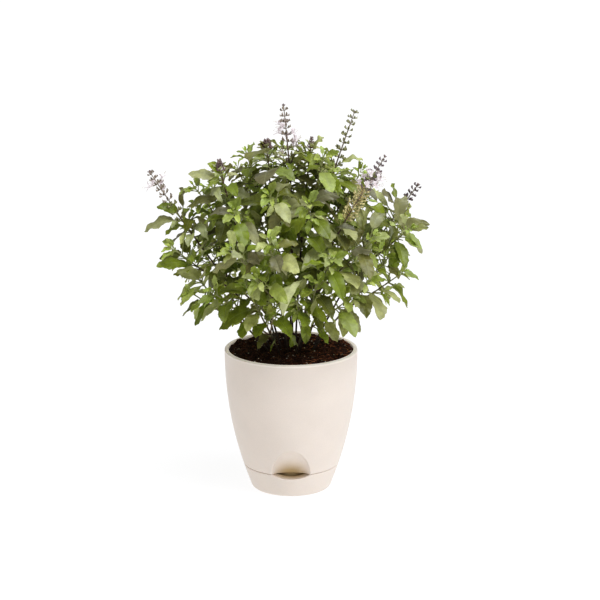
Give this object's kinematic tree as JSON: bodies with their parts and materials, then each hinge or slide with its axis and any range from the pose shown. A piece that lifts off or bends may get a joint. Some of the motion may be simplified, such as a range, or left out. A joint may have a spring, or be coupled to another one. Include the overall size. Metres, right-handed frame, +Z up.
{
  "type": "potted holy basil plant",
  "caption": "Bushy holy basil with opposite toothed leaves and upright flower spikes, growing in a round self-watering pot that sits on a water saucer.",
  "frame": {"origin": "centre of the saucer's flat underside, on the surface it stands on, at the pot's axis", "axes": "+Z up along the pot's axis, -Y towards the water inlet, +X to the right of a viewer who faces the inlet"},
  "size_m": [0.1984, 0.1683, 0.274],
  "materials": {
    "pot": "smooth satin moulding, warm cream",
    "saucer": "smooth satin moulding, warm cream",
    "soil": "loose dark brown coconut-fibre compost, stood in for by wood",
    "foliage": "soft downy green leaves on dark purplish stems, stood in for by leather",
    "flowers": "papery purple-brown calyces with pale lilac flowers, stood in for by paper"
  },
  "bodies": {
    "root": {"bud_head_04": "flowers", "bud_head_05": "flowers", "bud_head_07": "flowers", "flower_spike_01": "flowers", "flower_spike_06": "flowers", "flower_spike_08": "flowers", "flower_spike_09": "flowers", "flower_spike_10": "flowers", "leafy_stem_01": "foliage", "leafy_stem_02": "foliage", "leafy_stem_03": "foliage", "leafy_stem_04": "foliage", "leafy_stem_05": "foliage", "leafy_stem_06": "foliage", "leafy_stem_07": "foliage", "leafy_stem_08": "foliage", "leafy_stem_09": "foliage", "leafy_stem_10": "foliage", "leafy_stem_11": "foliage", "leafy_stem_12": "foliage", "leafy_stem_13": "foliage", "leafy_stem_14": "foliage", "leafy_stem_15": "foliage", "leafy_stem_16": "foliage", "pot": "pot", "saucer": "saucer", "soil": "soil"}
  },
  "joints": []
}
